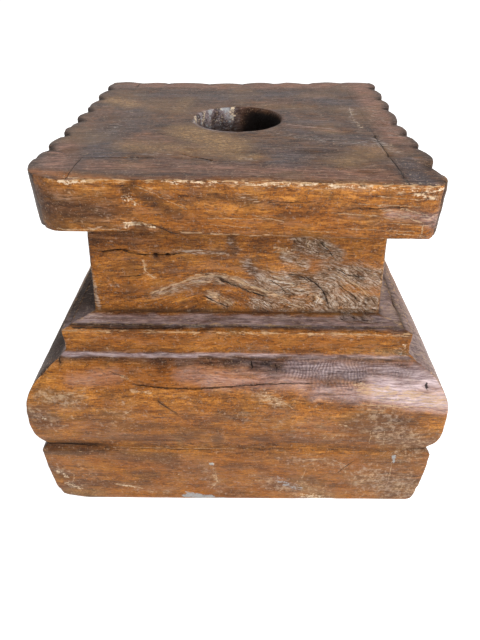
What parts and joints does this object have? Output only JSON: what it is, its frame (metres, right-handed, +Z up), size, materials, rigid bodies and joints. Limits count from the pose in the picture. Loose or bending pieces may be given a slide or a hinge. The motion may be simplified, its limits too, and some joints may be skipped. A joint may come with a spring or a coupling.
{
  "type": "pedestal column base",
  "caption": "Square wooden column base carved from one block: scalloped slab with a round blind socket, plain neck, stepped ledge, broad rounded moulding and plinth.",
  "frame": {"origin": "centre of the square underside", "axes": "+Z up along the axis of the column socket, -Y towards the plain edge of the abacus, X across it"},
  "size_m": [0.3146, 0.3146, 0.286],
  "materials": {
    "old_wood": "old oiled and weathered hardwood, worn pale on the edges"
  },
  "bodies": {
    "root": {"carved_block": "old_wood"}
  },
  "joints": []
}
